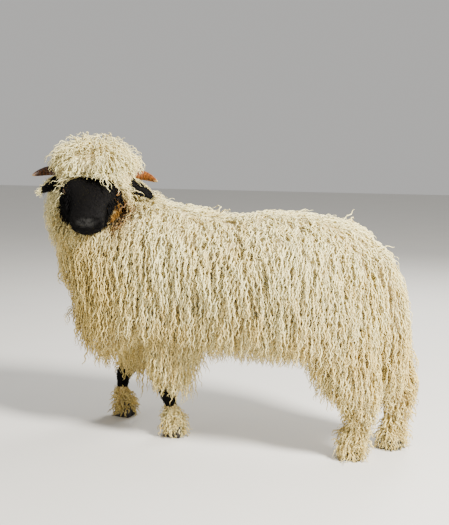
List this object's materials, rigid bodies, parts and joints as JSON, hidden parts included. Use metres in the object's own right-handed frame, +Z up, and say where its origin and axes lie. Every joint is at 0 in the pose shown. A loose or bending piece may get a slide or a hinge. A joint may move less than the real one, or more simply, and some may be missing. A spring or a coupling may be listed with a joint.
{
  "type": "black-faced longwool sheep, life-size standing model",
  "caption": "Standing horned sheep in long curly cream fleece, black face, ears and knees, head turned round to its left.",
  "frame": {"origin": "on the floor, under the middle of the whole sheep's box", "axes": "+X towards the tail (the body faces -X), +Y to the sheep's right side, +Z up; the head is turned towards -Y"},
  "size_m": [1.2878, 0.6116, 1.0418],
  "materials": {
    "fleece": "long curly cream wool, matt with a faint sheen",
    "black_hair": "short black hair, soft gloss",
    "horn": "ringed brown horn, dull gloss",
    "hoof": "black hoof horn, satin",
    "eye": "dark amber eye with a wet gloss"
  },
  "bodies": {
    "root": {"face": "black_hair", "head": "fleece", "neck": "fleece", "trunk": "fleece", "tail": "fleece", "leg_front_left": "fleece", "shank_front_left": "fleece", "hoof_front_left": "hoof", "leg_front_right": "fleece", "shank_front_right": "fleece", "hoof_front_right": "hoof", "leg_hind_left": "fleece", "shank_hind_left": "fleece", "hoof_hind_left": "hoof", "leg_hind_right": "fleece", "shank_hind_right": "fleece", "hoof_hind_right": "hoof", "ear_left": "black_hair", "ear_right": "black_hair", "horn_left": "horn", "horn_right": "horn", "eye_left": "eye", "eye_right": "eye"}
  },
  "joints": []
}
